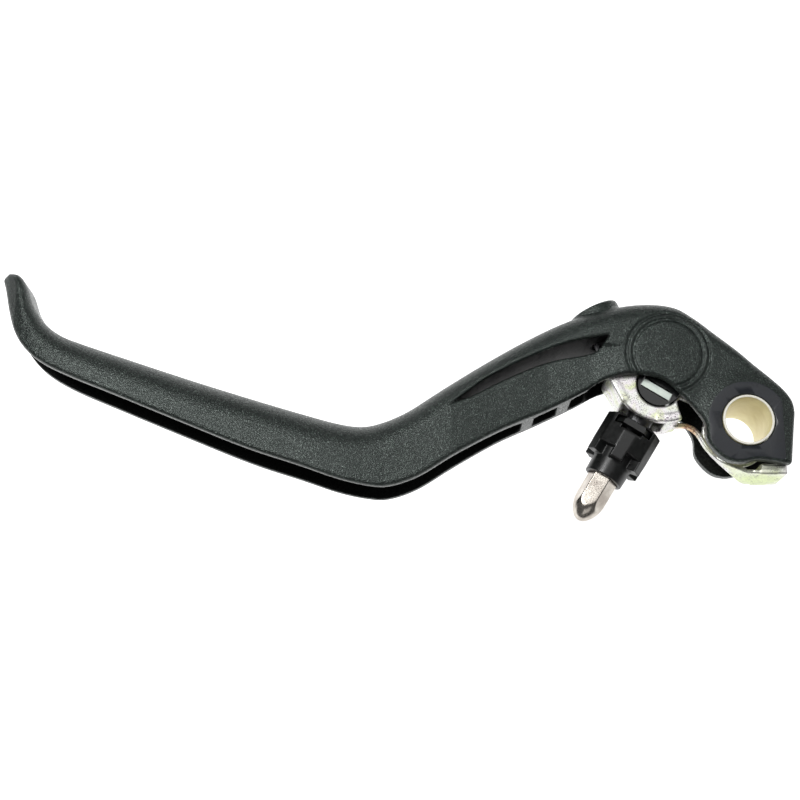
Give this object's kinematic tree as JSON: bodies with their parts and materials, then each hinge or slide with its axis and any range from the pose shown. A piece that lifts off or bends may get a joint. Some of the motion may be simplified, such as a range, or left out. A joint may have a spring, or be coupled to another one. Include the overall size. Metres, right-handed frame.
{
  "type": "bicycle brake lever blade",
  "caption": "Hooked bicycle brake lever blade with a pivot bush, reach screw, stamped rocker, contact-point knob and domed hexagonal pushrod.",
  "frame": {"origin": "centre of the pivot bush, on the pivot axis, in the blade's mid-plane", "axes": "+Z along the pivot axis; +X from the hooked tip towards the pivot; +Y towards the side that the fingers pull. The lever lies flat."},
  "size_m": [0.1398, 0.0449, 0.0144],
  "materials": {
    "black_coat": "fine textured black coat",
    "cream_polymer": "smooth moulded polymer",
    "nylon": "smooth nylon",
    "dark_steel": "black oxide",
    "zinc_plate": "zinc plate with a yellow-green tint",
    "gloss_black": "gloss",
    "satin_black": "satin moulded plastic",
    "rubber": "matt",
    "bright_steel": "drawn and lightly worn"
  },
  "bodies": {
    "blade": {"lever_blade": "black_coat", "pivot_bush": "cream_polymer", "reach_lock_ring": "nylon"},
    "thrust_pad": {"reach_pad": "nylon"},
    "reach_screw": {"reach_screw": "dark_steel"},
    "rocker": {"rocker": "zinc_plate"},
    "trunnion": {"trunnion": "gloss_black", "trunnion_nut": "zinc_plate", "neck_sleeve": "dark_steel"},
    "knob": {"adjuster_knob": "satin_black", "knob_clip": "gloss_black", "rod_oring": "rubber"},
    "pushrod": {"pushrod": "bright_steel"}
  },
  "joints": [
    {"name": "reach_advance", "type": "slide", "parent": "blade", "child": "thrust_pad", "axis": [0.4067, -0.9135, 0], "range_m": [-0.0012, 0.0012]},
    {"name": "reach_screw_turn", "type": "hinge", "parent": "thrust_pad", "child": "reach_screw", "pos_m": [-0.0252, 0.0219, 0], "axis": [0.4067, -0.9135, 0], "range_deg": [-541, 541]},
    {"name": "rocker_pivot", "type": "hinge", "parent": "blade", "child": "rocker", "pos_m": [0, 0, 0], "axis": [0, 0, 1], "range_deg": [-4.9, 4.9]},
    {"name": "trunnion_swing", "type": "hinge", "parent": "rocker", "child": "trunnion", "pos_m": [-0.0145, 0.0071, 0], "axis": [0, 0, 1], "range_deg": [-8, 8]},
    {"name": "knob_turn", "type": "hinge", "parent": "trunnion", "child": "knob", "pos_m": [-0.0145, 0.0071, 0], "axis": [-0.5299, -0.848, 0], "range_deg": [-1081, 1081]},
    {"name": "rod_extend", "type": "slide", "parent": "knob", "child": "pushrod", "axis": [-0.5299, -0.848, 0], "range_m": [-0.0015, 0.0015]}
  ],
  "couplings": [
    {"joint": "reach_screw_turn", "follows": "reach_advance", "rad_per_m": 7854},
    {"joint": "rocker_pivot", "follows": "reach_advance", "rad_per_m": 70.872},
    {"joint": "knob_turn", "follows": "rod_extend", "rad_per_m": 12566}
  ]
}
